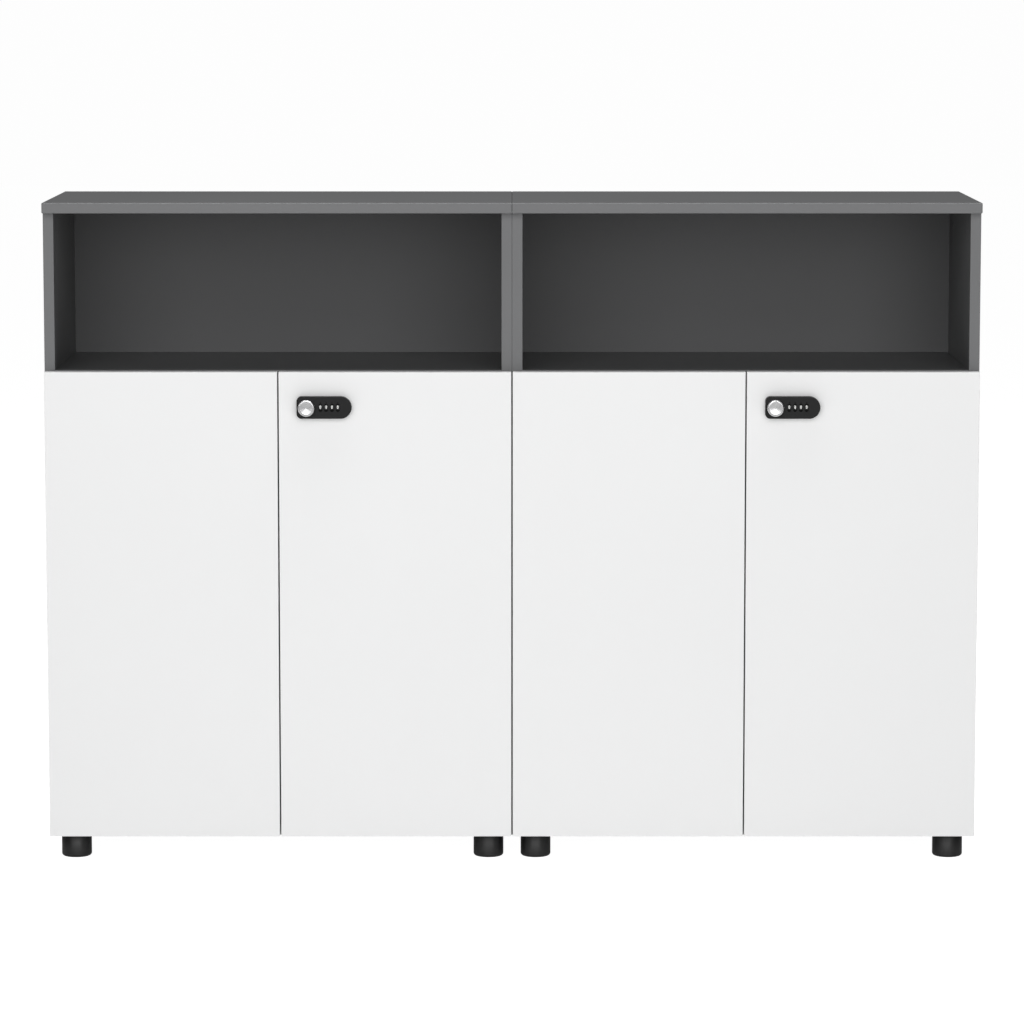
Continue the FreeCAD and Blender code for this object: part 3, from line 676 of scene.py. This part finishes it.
def slab(front, back):
    """Closed slab between two like grids of points, front and back, with walls round their four borders."""
    rows, columns = front.shape[:2]
    number = np.arange(rows * columns).reshape(rows, columns)
    quads = np.stack([number[:-1, :-1], number[1:, :-1], number[1:, 1:], number[:-1, 1:]], -1).reshape(-1, 4)
    border = np.concatenate([number[0], number[1:, -1], number[-1, -2::-1], number[-2:0:-1, 0]])
    after = np.roll(border, -1)
    behind = rows * columns
    walls = np.stack([border, after, after + behind, border + behind], -1)
    faces = [*quads.tolist(), *(quads[:, ::-1] + behind).tolist(), *walls.tolist()]
    return np.vstack([front.reshape(-1, 3), back.reshape(-1, 3)]), faces


def window_shade(middle, radius, chord, sizes):
    """Curved plate that closes one round end of a dial's window, rolled about the dial's axis.

    z runs from a chord to the window's round end over x, and y = axis - sqrt(roll ** 2 - z ** 2) for the roll's radius.
    """
    up = math.copysign(1.0, chord)
    end = sizes.window_width / 2
    straight = (sizes.window_height - sizes.window_width) / 2
    past = max(up * chord - straight, 0.0)
    half = 0.985 * math.sqrt(end ** 2 - past ** 2)
    across = half * np.sin(np.linspace(-np.pi / 2, np.pi / 2, 25))
    arc = up * (straight + np.sqrt(end ** 2 - across ** 2))
    share = np.linspace(0.0, 1.0, 7)
    z = chord + share[None] * (arc[:, None] - chord)
    sheets = []
    for roll in (radius + sizes.shade_gap + sizes.shade_thickness, radius + sizes.shade_gap):
        sheet = np.zeros((*z.shape, 3))
        sheet[..., 0] = middle.x + across[:, None]
        sheet[..., 1] = middle.y - np.sqrt(roll ** 2 - z ** 2)
        sheet[..., 2] = middle.z + z
        sheets.append(sheet if up > 0 else sheet[:, ::-1])
    return slab(*sheets)


def index_mark(x, face_y, z, sizes):
    """Small domed dot that shows where to read a dial, turned about the line straight out of the lock's face."""
    radius, rise = sizes.mark_radius, sizes.mark_rise
    profile = np.vstack([[(0.0, -rise), (radius, -rise)], quarter(radius - rise, 0.0, rise, 0, 90, 5), [(0.0, rise)]])
    return turned_points(profile, (x, face_y, z), (0, -1, 0), 24)


class CABINET_OT_windows(bpy.types.Operator):
    """Shade the ends of the dial windows and set a reading mark over each"""

    bl_idname = "cabinet.windows"
    bl_label = "Dial Windows"

    def execute(self, context):
        sizes = context.scene.cabinet_sizes
        for unit in UNITS:
            face_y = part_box(unit + "_lock_housing")[0].y
            shades, marks = [], []
            for i in range(DIALS):
                low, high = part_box(f"{unit}_lock_dial_{i + 1}")
                middle = (low + high) / 2
                shades += [window_shade(middle, (high.z - low.z) / 2, chord, sizes)
                           for chord in (sizes.window_top, -sizes.window_bottom)]
                marks.append(index_mark(middle.x, face_y, middle.z + sizes.mark_height, sizes))
            shade = put_mesh(unit + "_window_shades", *join_surfaces(shades), window_black())
            mark = put_mesh(unit + "_reading_marks", *join_surfaces(marks), window_black())
            for piece in (shade, mark):
                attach(piece, unit + "_right_door")
        return {"FINISHED"}


class CABINET_OT_fittings(bpy.types.Operator):
    """Finish hinges, screws, pins, strikes and surface bolts in zinc, cam fittings in grey and bumpers in rubber"""

    bl_idname = "cabinet.fittings"
    bl_label = "Fittings"

    def execute(self, context):
        finishes = context.scene.cabinet_finishes
        shared = ["cam_bolts", "foot_screws", "hinge_arms", "hinge_plates", "joining_screws",
                  "lock_strikes", "shelf_pins"]
        doors = [u + s + p for u in UNITS for s in ("_left_door", "_right_door")
                 for p in ("_hinge_cups", "_outer_links", "_inner_links")]
        slides = [u + p for u in UNITS for p in ("_surface_bolt", "_surface_bolt_guide")]
        paint_nodes(shared + doors + slides, zinc_plate(finishes))
        paint_nodes(["cam_fittings"], capped_grey(finishes))
        paint_nodes(["door_bumpers"], bumper_rubber())
        return {"FINISHED"}


class CABINET_OT_stage(bpy.types.Operator):
    """Set the pale floor, the soft lights, the white backdrop and the camera"""

    bl_idname = "cabinet.stage"
    bl_label = "Stage"

    def execute(self, context):
        stage = context.scene.cabinet_stage
        floor = put_mesh("floor", *flat_floor(stage.floor_reach), floor_paint(stage))
        for name, power, size, place, target in LIGHTS:
            soft_light(name, getattr(stage, power), size, place, target)
        even_light(stage.ambient)
        camera = bpy.data.cameras.new("photo_camera")
        camera.lens = stage.lens
        camera.sensor_width = SENSOR_WIDTH
        camera.clip_end = CLIP_END
        shown = bpy.data.objects.new("photo_camera", camera)
        shown.location = (0.0, FRONT - stage.camera_distance, stage.camera_height)
        look = Vector((0.0, FRONT, stage.aim_height)) - shown.location
        shown.rotation_euler = look.to_track_quat("-Z", "Y").to_euler()
        context.scene.collection.objects.link(shown)
        context.scene.camera = shown
        context.scene.view_settings.view_transform = "Standard"
        context.scene.view_settings.look = "None"
        return {"FINISHED"}


def flat_floor(reach):
    """Level floor P(u, v) = (reach * u, reach * v, 0) for u and v from -1 to 1."""
    step = np.linspace(-reach, reach, 13)
    u, v = np.meshgrid(step, step, indexing="ij")
    points = np.stack([u, v, np.zeros_like(u)], -1).reshape(-1, 3)
    number = np.arange(len(points)).reshape(u.shape)
    quads = np.stack([number[:-1, :-1], number[1:, :-1], number[1:, 1:], number[:-1, 1:]], -1)
    return points, quads.reshape(-1, 4).tolist()


def floor_paint(stage):
    """Pale floor that glows, more for the camera than for the cabinet."""
    material = finish_of("floor_paint", laminate_group, "laminate_print",
                         {"Tone": four(stage.floor_tone), "Fleck": 0.01, "Fleck Scale": 60.0, "Cloud": 0.0,
                          "Roughness": 0.7, "Emboss": 0.1}, (0.02, 0.0002), specular=0.2)
    tree = material.node_tree
    shader = next(n for n in tree.nodes if n.type == "BSDF_PRINCIPLED")
    shader.inputs["Emission Color"].default_value = (1.0, 1.0, 1.0, 1.0)
    rays = tree.nodes.new("ShaderNodeLightPath").outputs
    seen, mirrored = rays["Is Camera Ray"], rays["Is Glossy Ray"]
    glow = sums(tree, "MULTIPLY_ADD", seen, stage.floor_glow - stage.floor_bounce, stage.floor_bounce)
    glow = sums(tree, "MULTIPLY_ADD", mirrored, stage.floor_gleam - stage.floor_bounce, glow)
    feed(tree, shader.inputs["Emission Strength"], glow)
    return material


def soft_light(name, power, size, place, target):
    """A rectangular area light at a place, turned to its target."""
    light = bpy.data.lights.new(name, "AREA")
    light.shape = "RECTANGLE"
    light.size, light.size_y = size
    light.energy = power
    shown = bpy.data.objects.new(name, light)
    shown.location = place
    shown.rotation_euler = (Vector(target) - Vector(place)).to_track_quat("-Z", "Y").to_euler()
    bpy.context.scene.collection.objects.link(shown)


def even_light(strength):
    """A white backdrop for the camera, with only a little of its light on the cabinet."""
    world = bpy.data.worlds.new("studio")
    world.use_nodes = True
    tree = world.node_tree
    ground = next(n for n in tree.nodes if n.type == "BACKGROUND")
    ground.inputs["Color"].default_value = (1.0, 1.0, 1.0, 1.0)
    seen = tree.nodes.new("ShaderNodeLightPath").outputs["Is Camera Ray"]
    feed(tree, ground.inputs["Strength"], sums(tree, "MULTIPLY_ADD", seen, BACKDROP - strength, strength))
    bpy.context.scene.world = world


STEPS = (CABINET_OT_boards, CABINET_OT_doors, CABINET_OT_feet, CABINET_OT_locks, CABINET_OT_dials,
         CABINET_OT_windows, CABINET_OT_fittings, CABINET_OT_stage)


class CABINET_PT_panel(bpy.types.Panel):
    """Lists the cabinet's dressing steps and settings"""

    bl_idname = "CABINET_PT_panel"
    bl_label = "Cabinet"
    bl_space_type = "VIEW_3D"
    bl_region_type = "UI"
    bl_category = "Cabinet"

    def draw(self, context):
        for step in STEPS:
            self.layout.operator(step.bl_idname)
        for settings in ("cabinet_finishes", "cabinet_sizes", "cabinet_stage"):
            group = getattr(context.scene, settings)
            for name in group.bl_rna.properties.keys():
                if name not in ("rna_type", "name"):
                    self.layout.prop(group, name)


SETTINGS = {"cabinet_finishes": CabinetFinishes, "cabinet_sizes": CabinetSizes, "cabinet_stage": CabinetStage}


def register():
    for name, group in SETTINGS.items():
        bpy.utils.register_class(group)
        setattr(bpy.types.Scene, name, bpy.props.PointerProperty(type=group))
    for step in (*STEPS, CABINET_PT_panel):
        bpy.utils.register_class(step)


def unregister():
    for step in (*STEPS, CABINET_PT_panel):
        bpy.utils.unregister_class(step)
    for name, group in SETTINGS.items():
        delattr(bpy.types.Scene, name)
        bpy.utils.unregister_class(group)


def main():
    register()
    bpy.ops.cabinet.boards()
    bpy.ops.cabinet.doors()
    bpy.ops.cabinet.feet()
    bpy.ops.cabinet.locks()
    bpy.ops.cabinet.dials()
    bpy.ops.cabinet.windows()
    bpy.ops.cabinet.fittings()
    bpy.ops.cabinet.stage()


if __name__ == "__main__":
    main()
